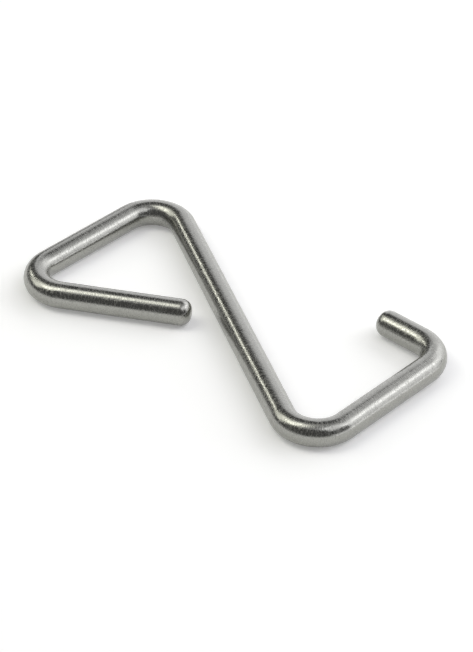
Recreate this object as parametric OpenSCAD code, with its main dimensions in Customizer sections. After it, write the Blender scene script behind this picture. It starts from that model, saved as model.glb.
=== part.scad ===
// Z hook, bent in one plane from a single length of round stainless rod.
// A triangular loop at one end carries a webbing strap on its straight bar,
// and an open hook with a short lip is at the other end.
// The hook lies flat, with its centre line in the plane Z = 0.
// Origin: the middle of the strap bar, on its centre line. +X runs along the strap bar
// and the foot bar, and +Y points from the open hook to the strap bar.

/* [Rod] */
// Diameter of the rod
rod_d = 6; // [5:0.1:8]
// Radius on the inside of every bend
bend_inner_r = 4.5; // [3:0.1:9]
// Radius that rounds off the edge of both cut ends
end_round = 2.3; // [0.3:0.1:2.4]

/* [Strap loop] */
// Straight length of the bar that carries the strap, between its two bends
strap_bar = 25.8; // [18:0.1:60]
// Angle between the strap bar and the return leg
loop_angle = 60; // [50:1:70]
// Clear gap between the end of the return leg and the diagonal
loop_gap = 4.3; // [1:0.1:12]

/* [Diagonal] */
// Straight length of the diagonal, between its two bends
diagonal = 74.6; // [60:0.1:140]
// Angle between the diagonal and the bar at either end of it
diagonal_angle = 60; // [50:1:70]

/* [Open hook] */
// Straight length of the foot bar, between its two bends
foot_bar = 26.3; // [18:0.1:60]
// Angle between the foot bar and the lip
lip_angle = 90; // [70:1:110]
// Straight length of the lip, from its bend to its rounded end
lip = 11.3; // [6:0.1:30]

/* [Hidden] */
$fn = 96;
// A turned position is rounded by a millionth of its size. So that a bend still joins the
// straight stretches as one solid, it is drawn this many times smaller and then enlarged,
bend_scale = 100;
// and it turns this much further, inside the straight stretch that follows it
bend_lap = 0.002;

rod_r = rod_d / 2;
// Radius of the centre line in every bend
bend_r = bend_inner_r + rod_r;
// How far the rod turns at each bend
loop_turn = 180 - loop_angle;
diagonal_turn = 180 - diagonal_angle;
lip_turn = 180 - lip_angle;

// Length from the corner of two centre lines to the start of the bend between them
function setback(turn) = bend_r * tan(turn / 2);

// The strap bar from corner to corner
strap_corners = setback(loop_turn) + strap_bar + setback(diagonal_turn);
// The return leg points at the diagonal under this angle
meeting_angle = 180 - loop_angle - diagonal_angle;
// How much nearer to the diagonal its rounded edge is than the middle of its end
end_reach = end_round * (1 - sin(meeting_angle)) + (rod_r - end_round) * cos(meeting_angle);
// The return leg from its corner to its end, as long as the gap lets it be
return_corner = (strap_corners * sin(diagonal_angle) - rod_r - loop_gap - end_reach)
    / sin(meeting_angle);
return_leg = return_corner - setback(loop_turn);

// A straight stretch from the origin along +X
module straight(length) {
    rotate([0, 90, 0]) cylinder(h = length, d = rod_d);
}

// A straight stretch that ends in the rounded cut
module straight_to_end(length) {
    straight(length - end_round);
    translate([length - end_round, 0, 0]) rotate([0, 90, 0]) rounded_end();
}

// The rounded end of the rod, standing on its flat side
module rounded_end() {
    flat_r = rod_r - end_round;
    rotate_extrude() {
        square([flat_r, end_round]);
        intersection() {
            translate([flat_r, 0]) circle(r = end_round);
            square([rod_r, end_round]);
        }
    }
}

// A bend that starts at the origin along +X and turns left, or right if turn is negative
module bend(turn) {
    drawn_turn = abs(turn) + bend_lap;
    start_angle = turn > 0 ? -90 : 90 - drawn_turn;
    translate([0, sign(turn) * bend_r, 0])
        scale(bend_scale)
            rotate_extrude(angle = drawn_turn, start = start_angle)
                translate([bend_r / bend_scale, 0]) circle(d = rod_d / bend_scale);
}

// Puts its children where a bend ends, in the direction that the rod takes from there
module after_bend(turn) {
    to_centre = [0, sign(turn) * bend_r, 0];
    translate(to_centre) rotate(turn) translate(-to_centre) children();
}

// The whole hook, bent both ways from the strap bar
module hook() {
    color("#b4b4ac") translate([-strap_bar / 2, 0, 0]) {
        rotate(180) return_side();
        straight(strap_bar);
        translate([strap_bar, 0, 0]) hook_side();
    }
}

// The bend and the return leg that close the strap loop, starting along +X
module return_side() {
    bend(loop_turn);
    after_bend(loop_turn) straight_to_end(return_leg);
}

// The diagonal, the foot bar and the lip with their bends, starting along +X
module hook_side() {
    bend(-diagonal_turn);
    after_bend(-diagonal_turn) {
        straight(diagonal);
        translate([diagonal, 0, 0]) {
            bend(diagonal_turn);
            after_bend(diagonal_turn) foot_side();
        }
    }
}

// The foot bar and the lip, starting along +X
module foot_side() {
    straight(foot_bar);
    translate([foot_bar, 0, 0]) {
        bend(lip_turn);
        after_bend(lip_turn) straight_to_end(lip);
    }
}

hook();
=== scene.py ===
"""Dresses the z hook: one bent rod of stainless steel on a white studio floor."""

import math

import bpy
from mathutils import Matrix, Quaternion, Vector


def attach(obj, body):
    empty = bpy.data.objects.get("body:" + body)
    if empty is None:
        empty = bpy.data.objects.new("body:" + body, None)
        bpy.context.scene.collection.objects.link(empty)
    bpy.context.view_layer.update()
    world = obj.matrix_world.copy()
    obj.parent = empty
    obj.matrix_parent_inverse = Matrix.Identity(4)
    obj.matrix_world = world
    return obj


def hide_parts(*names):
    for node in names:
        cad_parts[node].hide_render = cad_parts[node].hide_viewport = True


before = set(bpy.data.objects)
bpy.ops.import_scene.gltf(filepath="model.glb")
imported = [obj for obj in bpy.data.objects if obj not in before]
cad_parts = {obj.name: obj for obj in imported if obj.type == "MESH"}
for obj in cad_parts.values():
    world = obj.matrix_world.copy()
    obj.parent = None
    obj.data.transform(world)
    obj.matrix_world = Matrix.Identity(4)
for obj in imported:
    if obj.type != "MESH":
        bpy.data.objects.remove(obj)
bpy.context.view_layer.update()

# --- Bent rod -----------------------------------------------------------------
# The whole hook is one length of round stainless rod, cold bent in one plane, with
# both cut ends rounded over. It was tumbled in stone chips after bending, which left it
# bright but finely pitted, with faint marks of the straightening rolls still round it.

MM = 0.001
ROD_RADIUS = 3.0 * MM
BEND_RADIUS = 7.5 * MM  # of the centre line
END_ROUND = 2.3 * MM
STRAP_BAR = 25.8 * MM
DIAGONAL = 74.6 * MM
FOOT_BAR = 26.3 * MM
LIP = 11.3 * MM
LOOP_GAP = 4.3 * MM
LOOP_ANGLE = math.radians(60)
DIAGONAL_ANGLE = math.radians(60)
LIP_ANGLE = math.radians(90)

STEPS_IN_BEND = 64
RINGS_ON_END = 14
RINGS_BETWEEN = 560
POINTS_ROUND = 96

DENT_DEPTH = 0.03 * MM
DENT_SEED = 7.0
DENT_SPACING = 4.44 * MM
DENT_RIM = 0.62  # the noise sinks the skin from here
DENT_FLOOR = 0.78  # and to the whole depth here


def setback(angle):
    """Length from a corner of the centre line to the start of its bend."""
    return BEND_RADIUS / math.tan(angle / 2)


def heading(angle):
    """Direction in the plane of the hook, turned by an angle from +X."""
    return Vector((math.cos(angle), math.sin(angle), 0))


def corners_of_rod():
    """Corners of the rod's centre line, from the end of the return leg to the lip."""
    strap_corners = setback(LOOP_ANGLE) + STRAP_BAR + setback(DIAGONAL_ANGLE)
    meeting = math.pi - LOOP_ANGLE - DIAGONAL_ANGLE
    flat_radius = ROD_RADIUS - END_ROUND
    end_reach = END_ROUND * (1 - math.sin(meeting)) + flat_radius * math.cos(meeting)
    room = strap_corners * math.sin(DIAGONAL_ANGLE)
    return_leg = (room - ROD_RADIUS - LOOP_GAP - end_reach) / math.sin(meeting)
    loop_corner = Vector((-STRAP_BAR / 2 - setback(LOOP_ANGLE), 0, 0))
    top_corner = Vector((STRAP_BAR / 2 + setback(DIAGONAL_ANGLE), 0, 0))
    diagonal_way = heading(DIAGONAL_ANGLE - math.pi)
    foot_corner = top_corner + diagonal_way * (DIAGONAL + 2 * setback(DIAGONAL_ANGLE))
    foot_length = setback(DIAGONAL_ANGLE) + FOOT_BAR + setback(LIP_ANGLE)
    lip_corner = foot_corner + heading(0) * foot_length
    lip_way = heading(math.pi - LIP_ANGLE)
    return [
        loop_corner + heading(-LOOP_ANGLE) * return_leg,
        loop_corner,
        top_corner,
        foot_corner,
        lip_corner,
        lip_corner + lip_way * (setback(LIP_ANGLE) + LIP),
    ]


def noise_scale(spacing):
    """Scale of a noise, on coordinates in mm, whose bumps stand this far apart."""
    return 2 * MM / spacing


def node(tree, kind, inputs=None, **settings):
    """Adds a node with its settings, and links or sets its inputs by name or number."""
    made = tree.nodes.new(kind)
    for key, value in settings.items():
        setattr(made, key, value)
    for key, value in (inputs or {}).items():
        if isinstance(value, bpy.types.Node):
            value = value.outputs[0]
        if isinstance(value, bpy.types.NodeSocket):
            tree.links.new(value, made.inputs[key])
        else:
            made.inputs[key].default_value = value
    return made


def colour(text):
    """A colour written in sRGB hex, as the linear RGBA that a socket takes."""
    parts = [int(text[i : i + 2], 16) / 255 for i in (1, 3, 5)]
    linear = [
        p / 12.92 if p <= 0.04045 else ((p + 0.055) / 1.055) ** 2.4 for p in parts
    ]
    return (*linear, 1.0)


def bent_rod_tree():
    """Sweeps a rod along a path of corners, rounds its ends and dents it a little."""
    tree = bpy.data.node_groups.new("bent rod", "GeometryNodeTree")
    sockets = tree.interface
    sockets.new_socket("Corners", in_out="INPUT", socket_type="NodeSocketGeometry")
    for name, kind, value in (
        ("Rod radius", "NodeSocketFloat", ROD_RADIUS),
        ("Bend radius", "NodeSocketFloat", BEND_RADIUS),
        ("End round", "NodeSocketFloat", END_ROUND),
        ("Rings on an end", "NodeSocketInt", RINGS_ON_END),
        ("Rings between", "NodeSocketInt", RINGS_BETWEEN),
        ("Points round", "NodeSocketInt", POINTS_ROUND),
        ("Dent depth", "NodeSocketFloat", DENT_DEPTH),
        ("Finish", "NodeSocketMaterial", None),
    ):
        socket = sockets.new_socket(name, in_out="INPUT", socket_type=kind)
        if value is not None:
            socket.default_value = value
    sockets.new_socket("Rod", in_out="OUTPUT", socket_type="NodeSocketGeometry")
    given = node(tree, "NodeGroupInput").outputs
    end_round = given["End round"]
    on_end = given["Rings on an end"]
    between = given["Rings between"]

    bends = node(
        tree,
        "GeometryNodeFilletCurve",
        {
            "Curve": given["Corners"],
            "Radius": given["Bend radius"],
            "Count": STEPS_IN_BEND,
        },
        mode="POLY",
    )
    length = node(tree, "GeometryNodeCurveLength", {"Curve": bends})

    # Each ring is counted from the nearer end of the rod. The rings crowd together on
    # the rounding, where the radius changes, and are evenly spaced in between.
    index = node(tree, "GeometryNodeInputIndex")
    last = node(
        tree, "ShaderNodeMath", {0: on_end, 1: 2, 2: between}, operation="MULTIPLY_ADD"
    )
    rings = node(tree, "ShaderNodeMath", {0: last, 1: 1}, operation="ADD")
    from_last = node(tree, "ShaderNodeMath", {0: last, 1: index}, operation="SUBTRACT")
    count = node(tree, "ShaderNodeMath", {0: index, 1: from_last}, operation="MINIMUM")
    angle = node(
        tree,
        "ShaderNodeMapRange",
        {"Value": count, "From Max": on_end, "To Max": math.pi / 2},
    )
    cosine = node(tree, "ShaderNodeMath", {0: angle}, operation="COSINE")
    sine = node(tree, "ShaderNodeMath", {0: angle}, operation="SINE")
    no_depth = node(tree, "ShaderNodeMath", {0: 1, 1: cosine}, operation="SUBTRACT")
    no_width = node(tree, "ShaderNodeMath", {0: 1, 1: sine}, operation="SUBTRACT")
    depth = node(
        tree, "ShaderNodeMath", {0: no_depth, 1: end_round}, operation="MULTIPLY"
    )
    lost = node(
        tree, "ShaderNodeMath", {0: no_width, 1: end_round}, operation="MULTIPLY"
    )
    radius = node(
        tree, "ShaderNodeMath", {0: given["Rod radius"], 1: lost}, operation="SUBTRACT"
    )
    plain = node(
        tree,
        "ShaderNodeMath",
        {0: end_round, 1: -2, 2: length},
        operation="MULTIPLY_ADD",
    )
    spacing = node(tree, "ShaderNodeMath", {0: plain, 1: between}, operation="DIVIDE")
    past_end = node(tree, "ShaderNodeMath", {0: count, 1: on_end}, operation="SUBTRACT")
    inner = node(tree, "ShaderNodeMath", {0: past_end, 1: 0}, operation="MAXIMUM")
    near = node(
        tree,
        "ShaderNodeMath",
        {0: inner, 1: spacing, 2: depth},
        operation="MULTIPLY_ADD",
    )
    far = node(tree, "ShaderNodeMath", {0: length, 1: near}, operation="SUBTRACT")
    past_middle = node(
        tree, "ShaderNodeMath", {0: index, 1: from_last}, operation="GREATER_THAN"
    )
    along = node(tree, "ShaderNodeMix", {"Factor": past_middle, "A": near, "B": far})

    place = node(
        tree,
        "GeometryNodeSampleCurve",
        {"Curves": bends, "Length": along},
        mode="LENGTH",
    )
    centres = node(
        tree,
        "GeometryNodeSetPosition",
        {
            "Geometry": node(tree, "GeometryNodePoints", {"Count": rings}),
            "Position": place.outputs["Position"],
        },
    )
    keep_along = node(
        tree,
        "GeometryNodeStoreNamedAttribute",
        {"Geometry": centres, "Name": "along", "Value": along},
        data_type="FLOAT",
        domain="POINT",
    )
    keep_radius = node(
        tree,
        "GeometryNodeStoreNamedAttribute",
        {"Geometry": keep_along, "Name": "ring radius", "Value": radius},
        data_type="FLOAT",
        domain="POINT",
    )
    path = node(tree, "GeometryNodePointsToCurves", {"Points": keep_radius})
    upright = node(tree, "GeometryNodeSetCurveNormal", {"Curve": path}, mode="Z_UP")
    circle = node(
        tree,
        "GeometryNodeCurvePrimitiveCircle",
        {"Resolution": given["Points round"], "Radius": 1.0},
    )
    on_circle = node(tree, "GeometryNodeInputPosition")
    keep_round = node(
        tree,
        "GeometryNodeStoreNamedAttribute",
        {"Geometry": circle, "Name": "round", "Value": on_circle},
        data_type="FLOAT_VECTOR",
        domain="POINT",
    )
    kept_along = node(
        tree, "GeometryNodeInputNamedAttribute", {"Name": "along"}, data_type="FLOAT"
    )
    kept_radius = node(
        tree,
        "GeometryNodeInputNamedAttribute",
        {"Name": "ring radius"},
        data_type="FLOAT",
    )
    kept_round = node(
        tree,
        "GeometryNodeInputNamedAttribute",
        {"Name": "round"},
        data_type="FLOAT_VECTOR",
    )
    skin = node(
        tree,
        "GeometryNodeCurveToMesh",
        {
            "Curve": upright,
            "Profile Curve": keep_round,
            "Scale": kept_radius,
            "Fill Caps": True,
        },
    )

    # Where each point of the skin was on the straight rod, before it was bent
    across = node(
        tree,
        "ShaderNodeVectorMath",
        {0: kept_round, "Scale": kept_radius},
        operation="SCALE",
    )
    side_and_up = node(tree, "ShaderNodeSeparateXYZ", {0: across}).outputs
    unbent = node(
        tree,
        "ShaderNodeCombineXYZ",
        {"X": kept_along, "Y": side_and_up["X"], "Z": side_and_up["Y"]},
    )
    keep_unbent = node(
        tree,
        "GeometryNodeStoreNamedAttribute",
        {"Geometry": skin, "Name": "unbent", "Value": unbent},
        data_type="FLOAT_VECTOR",
        domain="POINT",
    )

    # Shallow dents a millimetre or two across, where the hooks knocked together
    in_mm = node(
        tree, "ShaderNodeVectorMath", {0: unbent, "Scale": 1 / MM}, operation="SCALE"
    )
    knocks = node(
        tree,
        "ShaderNodeTexNoise",
        {
            "Vector": in_mm,
            "W": DENT_SEED,
            "Scale": noise_scale(DENT_SPACING),
            "Detail": 1.0,
        },
        noise_dimensions="4D",
    )
    hollow = node(
        tree,
        "ShaderNodeMapRange",
        {"Value": knocks, "From Min": DENT_RIM, "From Max": DENT_FLOOR},
    )
    sink = node(
        tree,
        "ShaderNodeMath",
        {0: hollow, 1: given["Dent depth"]},
        operation="MULTIPLY",
    )
    outward = node(tree, "GeometryNodeInputNormal")
    inward = node(
        tree, "ShaderNodeVectorMath", {0: outward, "Scale": -1.0}, operation="SCALE"
    )
    offset = node(
        tree, "ShaderNodeVectorMath", {0: inward, "Scale": sink}, operation="SCALE"
    )
    dented = node(
        tree, "GeometryNodeSetPosition", {"Geometry": keep_unbent, "Offset": offset}
    )

    smooth = node(tree, "GeometryNodeSetShadeSmooth", {"Geometry": dented})
    finished = node(
        tree,
        "GeometryNodeSetMaterial",
        {"Geometry": smooth, "Material": given["Finish"]},
    )
    node(tree, "NodeGroupOutput", {0: finished})
    return tree


STEEL_DARK = "#979792"
STEEL_PALE = "#A4A49F"
MARK_SPACING = 0.44 * MM
MARK_LENGTH = 2.9 * MM
MARK_DEPTH = 0.028 * MM
PIT_SPACING = 0.52 * MM
PIT_SHARE = 0.14  # of the depth of a mark
PATCH_SPACING = 4.0 * MM
WORN_CREST = 0.34  # the noise is nearly a mirror up to here
DULL_FLOOR = 0.66  # and dullest from here
DULLEST = 0.46  # roughness


def tumbled_steel():
    """Cold-drawn stainless rod, tumbled: a soft mirror, warm grey, that shows each lamp
    as a pale band. Its pits speckle a band's edges, and the marks of the rolls break it
    into short dashes."""
    made = bpy.data.materials.new("drawn stainless steel, tumbled")
    made.use_nodes = True
    tree = made.node_tree
    tree.nodes.clear()
    unbent = node(tree, "ShaderNodeAttribute", attribute_name="unbent")
    in_mm = node(
        tree,
        "ShaderNodeVectorMath",
        {0: unbent.outputs["Vector"], "Scale": 1 / MM},
        operation="SCALE",
    )

    # Marks of the straightening rolls run round the rod. They are drawn about twice as
    # far apart as real ones, so that they show.
    along, across = noise_scale(MARK_SPACING), noise_scale(MARK_LENGTH)
    stretched = node(
        tree,
        "ShaderNodeVectorMath",
        {0: in_mm, 1: (along, across, across)},
        operation="MULTIPLY",
    )
    marks = node(
        tree, "ShaderNodeTexNoise", {"Vector": stretched, "Scale": 1.0, "Detail": 2.0}
    )
    # Pits left by the tumbling chips. Real ones are under 0.1 mm across. They are drawn
    # at about 0.25 mm, half their spacing, so that they show.
    pits = node(
        tree,
        "ShaderNodeTexNoise",
        {"Vector": in_mm, "Scale": noise_scale(PIT_SPACING), "Detail": 4.0},
    )
    height = node(
        tree,
        "ShaderNodeMath",
        {0: pits, 1: -PIT_SHARE, 2: marks},
        operation="MULTIPLY_ADD",
    )
    bump = node(
        tree,
        "ShaderNodeBump",
        {"Height": height, "Strength": 1.0, "Distance": MARK_DEPTH},
    )
    # The grey is a little uneven, in patches a few millimetres across. Inputs 6 and 7
    # and output 2 of the mix are its colours.
    patches = node(
        tree,
        "ShaderNodeTexNoise",
        {"Vector": in_mm, "Scale": noise_scale(PATCH_SPACING), "Detail": 4.0},
    )
    tone = node(
        tree,
        "ShaderNodeMix",
        {"Factor": patches, 6: colour(STEEL_DARK), 7: colour(STEEL_PALE)},
        data_type="RGBA",
    )
    # Worn crests between the marks and the pits are nearly a mirror, and what lies low
    # is dull
    between_marks = node(tree, "ShaderNodeMath", {0: 1, 1: marks}, operation="SUBTRACT")
    low = node(tree, "ShaderNodeMix", {"Factor": 0.5, "A": pits, "B": between_marks})
    dullness = node(
        tree,
        "ShaderNodeMapRange",
        {
            "Value": low,
            "From Min": WORN_CREST,
            "From Max": DULL_FLOOR,
            "To Max": DULLEST,
        },
    )
    shader = node(
        tree,
        "ShaderNodeBsdfPrincipled",
        {
            "Base Color": tone.outputs[2],
            "Metallic": 1.0,
            "Roughness": dullness,
            "Normal": bump,
        },
    )
    node(tree, "ShaderNodeOutputMaterial", {"Surface": shader})
    return made


def made_mesh(tree, base, name, inputs):
    """Runs a node tree on a mesh or curve, and returns its result as a plain object.
    The inputs go by the names in the tree."""
    source = bpy.data.objects.new(name + " source", base)
    bpy.context.scene.collection.objects.link(source)
    modifier = source.modifiers.new("shape", "NODES")
    modifier.node_group = tree
    for item in tree.interface.items_tree:
        is_input = item.item_type == "SOCKET" and item.in_out == "INPUT"
        if is_input and item.name in inputs:
            modifier[item.identifier] = inputs[item.name]
    depsgraph = bpy.context.evaluated_depsgraph_get()
    mesh = bpy.data.meshes.new_from_object(source.evaluated_get(depsgraph))
    bpy.data.objects.remove(source)
    made = bpy.data.objects.new(name, mesh)
    bpy.context.scene.collection.objects.link(made)
    return made


corners = corners_of_rod()
corner_line = bpy.data.curves.new("corners of the rod", "CURVE")
corner_line.dimensions = "3D"
spline = corner_line.splines.new("POLY")
spline.points.add(len(corners) - 1)
for point, place in zip(spline.points, corners):
    point.co = (*place, 1.0)

rod = made_mesh(
    bent_rod_tree(),
    corner_line,
    "bent_rod",
    {
        "Rod radius": ROD_RADIUS,
        "Bend radius": BEND_RADIUS,
        "End round": END_ROUND,
        "Dent depth": DENT_DEPTH,
        "Finish": tumbled_steel(),
    },
)
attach(rod, "root")
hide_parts("hook")

# --- Studio floor -------------------------------------------------------------
# A wide sheet of matt white card, which the hook lies on. It keeps the soft shadow of
# the hook, and is lifted to plain white for the camera and in the metal.

FLOOR_SIDE = 8.0  # m
FLOOR_COLOUR = "#F7F7F7"
FLOOR_LIFT = 0.22
LIT_WITHIN = 0.5  # m from the hook
UNLIT_BEYOND = 1.1  # m from the hook


def white_board():
    """White card, pressed and uncoated: an even matt white, with no grain to see."""
    made = bpy.data.materials.new("white card, matt")
    made.use_nodes = True
    tree = made.node_tree
    tree.nodes.clear()
    ray = node(tree, "ShaderNodeLightPath").outputs
    mirrored = node(
        tree,
        "ShaderNodeMath",
        {0: ray["Is Glossy Ray"], 1: ray["Is Transmission Ray"]},
        operation="MAXIMUM",
    )
    seen = node(
        tree,
        "ShaderNodeMath",
        {0: ray["Is Camera Ray"], 1: mirrored},
        operation="MAXIMUM",
    )
    # Little light falls past the lamps, so there the card is lifted further
    here = node(tree, "ShaderNodeTexCoord").outputs["Object"]
    away = node(tree, "ShaderNodeVectorMath", {0: here}, operation="LENGTH")
    share = node(
        tree,
        "ShaderNodeMapRange",
        {
            "Value": away.outputs["Value"],
            "From Min": LIT_WITHIN,
            "From Max": UNLIT_BEYOND,
            "To Min": FLOOR_LIFT,
            "To Max": 1.0,
        },
    )
    lift = node(tree, "ShaderNodeMath", {0: seen, 1: share}, operation="MULTIPLY")
    glow = node(tree, "ShaderNodeEmission", {"Strength": lift})
    board = node(tree, "ShaderNodeBsdfDiffuse", {"Color": colour(FLOOR_COLOUR)})
    both = node(tree, "ShaderNodeAddShader", {0: board, 1: glow})
    node(tree, "ShaderNodeOutputMaterial", {"Surface": both})
    return made


floor_mesh = bpy.data.meshes.new("floor")
side = FLOOR_SIDE / 2
floor_mesh.from_pydata(
    [(-side, -side, 0), (side, -side, 0), (side, side, 0), (-side, side, 0)],
    [],
    [(0, 1, 2, 3)],
)
floor_mesh.transform(Matrix.Translation((0, 0, -ROD_RADIUS)))
floor_mesh.materials.append(white_board())
floor = bpy.data.objects.new("floor", floor_mesh)
bpy.context.scene.collection.objects.link(floor)

# --- Camera -------------------------------------------------------------------
# Looks down on the hook from beyond the loop's side, from half a metre away.

CAMERA_PLACE = Vector((-315.632, -335.875, 309.183)) * MM
CAMERA_AIM = Vector((-1.0987, -47.1907, 0.0)) * MM
CAMERA_ROLL = math.radians(0.7067)
LENS_LENGTH = 133.868  # mm, on a frame 24 mm wide and 36 mm high

lens = bpy.data.cameras.new("camera")
lens.sensor_fit = "VERTICAL"
lens.sensor_width = 24
lens.sensor_height = 36
lens.lens = LENS_LENGTH
lens.clip_start = 0.01
lens.clip_end = 50
camera = bpy.data.objects.new("camera", lens)
camera.location = CAMERA_PLACE
aim = (CAMERA_AIM - CAMERA_PLACE).to_track_quat("-Z", "Y")
camera.rotation_mode = "QUATERNION"
camera.rotation_quaternion = aim @ Quaternion((0, 0, 1), CAMERA_ROLL)
bpy.context.scene.collection.objects.link(camera)
bpy.context.scene.camera = camera

# --- Studio light -------------------------------------------------------------
# Soft boxes to the left and right of the hook, pale screens behind it and a weak one
# overhead. Each shows as a pale band along the rod, and what they leave of the room
# shows as the dark bands between.

CAMERA_WAY = math.atan2(CAMERA_AIM.y - CAMERA_PLACE.y, CAMERA_AIM.x - CAMERA_PLACE.x)
LAMP_DISTANCE = 1.2  # m from the hook
WARM = "#FFFFF5"  # the lamps to the left
COOL = "#FBFBFF"  # the lamps and screens to the right, behind and overhead
ROOM_LEVEL = 0.115
HORIZON_LEVEL = 0.6
HORIZON_TOP = 9.0  # degrees up, where the white of the table has faded into the room
HORIZON_FADE = 6.0  # degrees, below that


def soft_box(name, tint, turn, rise, wide, high, level):
    """An area lamp facing the hook. Its place and size are in degrees, as seen from the
    hook, and turn goes clockwise from the way that the camera looks. Its level is how
    bright it looks, where 1 is white."""
    way = CAMERA_WAY - math.radians(turn)
    up = math.radians(rise)
    sideways = math.cos(up)
    out = Vector((math.cos(way) * sideways, math.sin(way) * sideways, math.sin(up)))
    lamp = bpy.data.lights.new(name, "AREA")
    lamp.shape = "RECTANGLE"
    lamp.size = 2 * LAMP_DISTANCE * math.tan(math.radians(wide) / 2)
    lamp.size_y = 2 * LAMP_DISTANCE * math.tan(math.radians(high) / 2)
    lamp.energy = level * math.pi * lamp.size * lamp.size_y
    lamp.color = colour(tint)[:3]
    made = bpy.data.objects.new(name, lamp)
    made.location = CAMERA_AIM + out * LAMP_DISTANCE
    made.rotation_euler = (-out).to_track_quat("-Z", "Y").to_euler()
    made.visible_camera = False
    bpy.context.scene.collection.objects.link(made)


for name, tint, turn, rise, wide, high, level in (
    ("left soft box", WARM, -76, 42, 31, 38, 1.58),
    ("left soft box, raised", WARM, -96, 61, 22, 30, 2.33),
    ("left soft box, top", WARM, -77, 77, 16, 13, 1.58),
    ("left strip", WARM, -46, 28, 11, 8, 4.30),
    ("back screen", COOL, 27, 21, 76, 45, 1.10),
    ("back screen, right", COOL, 65, 36, 64, 47, 0.81),
    ("right soft box", COOL, 77, 39, 24, 17, 1.48),
    ("right soft box, raised", COOL, 121, 57, 38, 31, 1.36),
    ("right screen", COOL, 86, 20, 32, 42, 0.85),
    ("right screen on the floor", COOL, 119, 6, 59, 11, 0.95),
    ("overhead screen", COOL, 180, 85, 48, 50, 0.34),
):
    soft_box(name, tint, turn, rise, wide, high, level)

world = bpy.data.worlds.new("studio")
world.use_nodes = True
tree = world.node_tree
tree.nodes.clear()
# The camera sees plain white above the floor. The metal sees the table's white reach a
# little way up, with the room over it. The floor is lit by the room's level all round.
ray = node(tree, "ShaderNodeLightPath").outputs
way = node(tree, "ShaderNodeTexCoord").outputs["Generated"]
horizon = node(
    tree,
    "ShaderNodeMapRange",
    {
        "Value": node(tree, "ShaderNodeSeparateXYZ", {"Vector": way}).outputs["Z"],
        "From Min": math.sin(math.radians(HORIZON_TOP - HORIZON_FADE)),
        "From Max": math.sin(math.radians(HORIZON_TOP)),
        "To Min": HORIZON_LEVEL,
        "To Max": ROOM_LEVEL,
    },
    interpolation_type="SMOOTHSTEP",
)
mirrored = node(
    tree,
    "ShaderNodeMath",
    {0: ray["Is Glossy Ray"], 1: ray["Is Transmission Ray"]},
    operation="MAXIMUM",
)
room = node(tree, "ShaderNodeMix", {"Factor": mirrored, "A": ROOM_LEVEL, "B": horizon})
brightness = node(
    tree, "ShaderNodeMix", {"Factor": ray["Is Camera Ray"], "A": room, "B": 1.0}
)
back = node(
    tree, "ShaderNodeBackground", {"Color": (1, 1, 1, 1), "Strength": brightness}
)
node(tree, "ShaderNodeOutputWorld", {"Surface": back})
bpy.context.scene.world = world

bpy.context.scene.view_settings.view_transform = "Standard"
